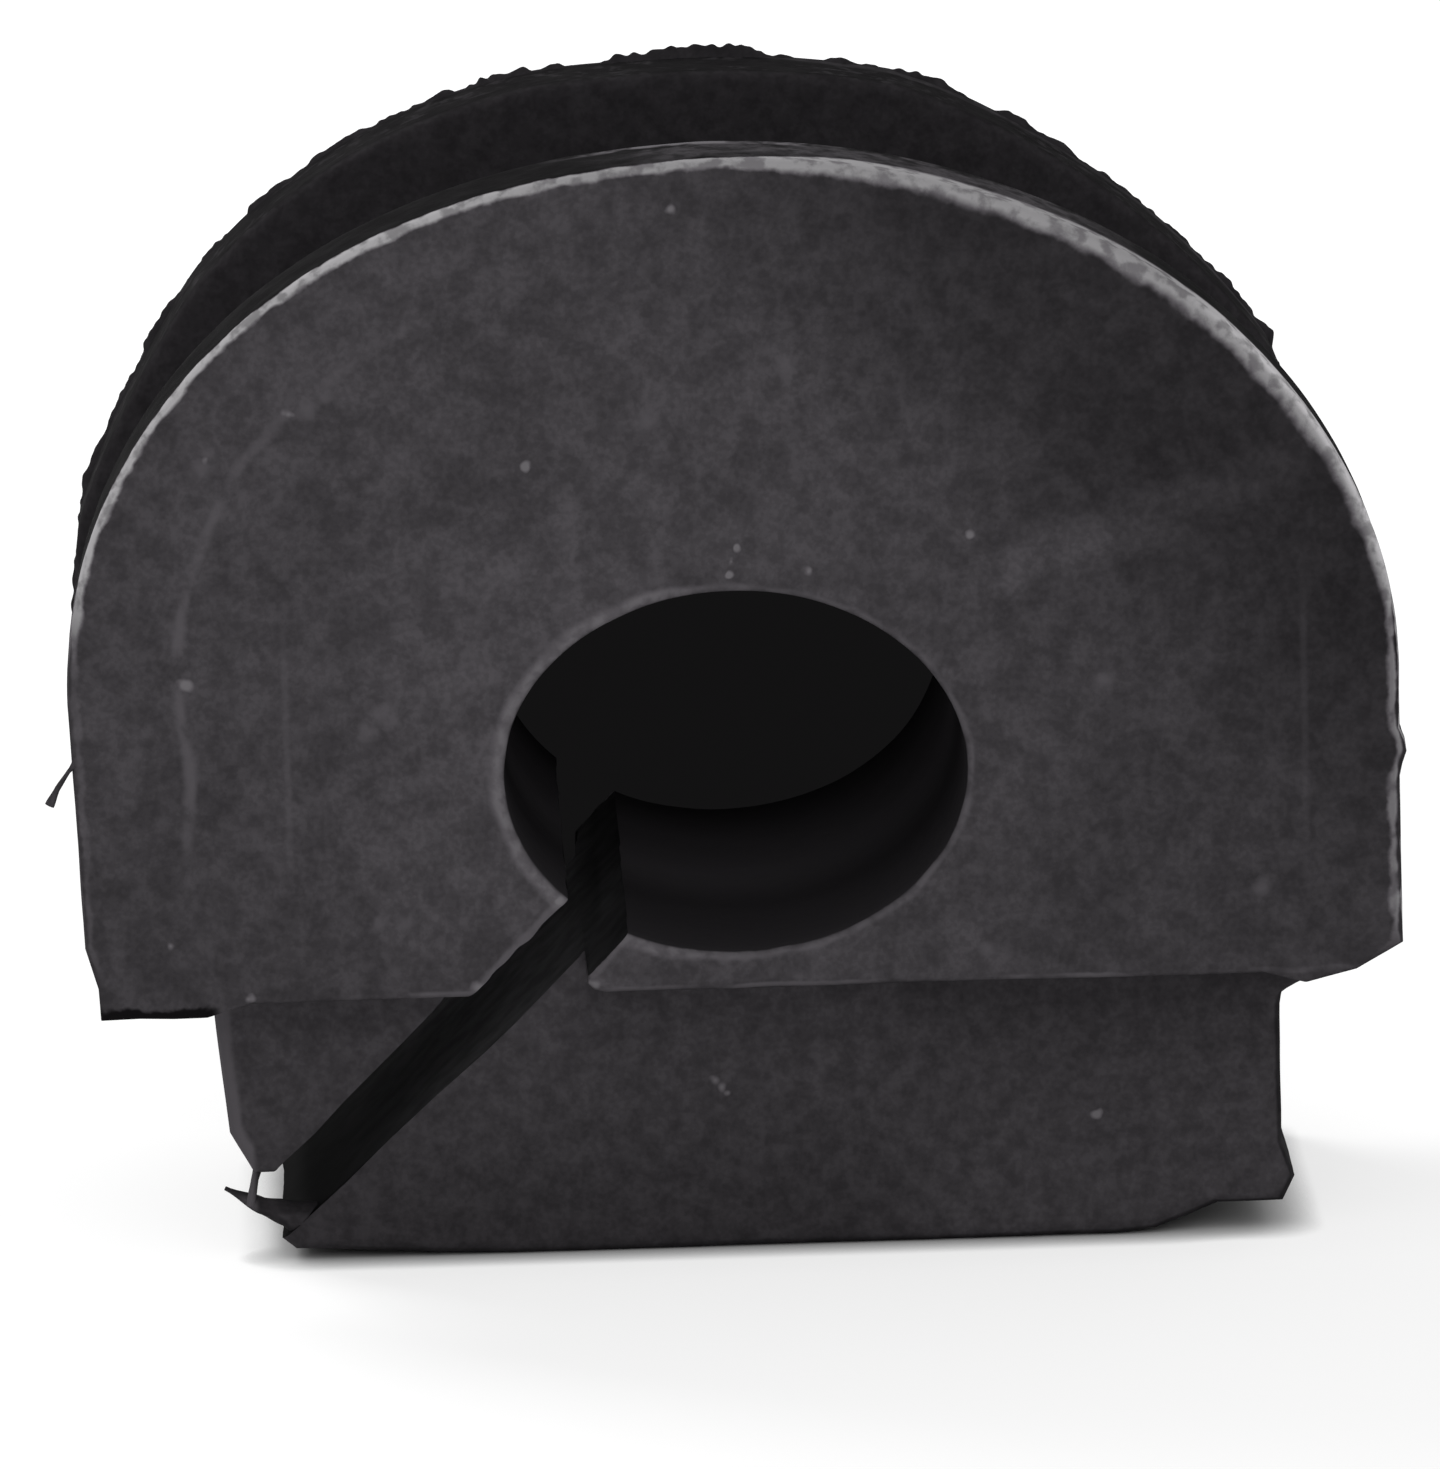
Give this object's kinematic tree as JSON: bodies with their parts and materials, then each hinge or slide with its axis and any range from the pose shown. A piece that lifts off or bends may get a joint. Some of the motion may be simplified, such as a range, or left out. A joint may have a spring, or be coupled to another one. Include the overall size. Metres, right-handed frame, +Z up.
{
  "type": "sway bar bushing",
  "caption": "Split rubber bushing with an oval bar hole, two arched flanges and a strap channel, standing on a flat foot.",
  "frame": {"origin": "middle of the bounding box, at the height of the pad that rests on the frame", "axes": "+X across the bushing, away from the slit; +Y along the bar, towards the back; +Z up from the pad to the crown"},
  "size_m": [0.063, 0.034, 0.0539],
  "materials": {
    "rubber": "matt moulded black rubber, dusty on its edges"
  },
  "bodies": {
    "root": {"rubber_bushing": "rubber"}
  },
  "joints": []
}
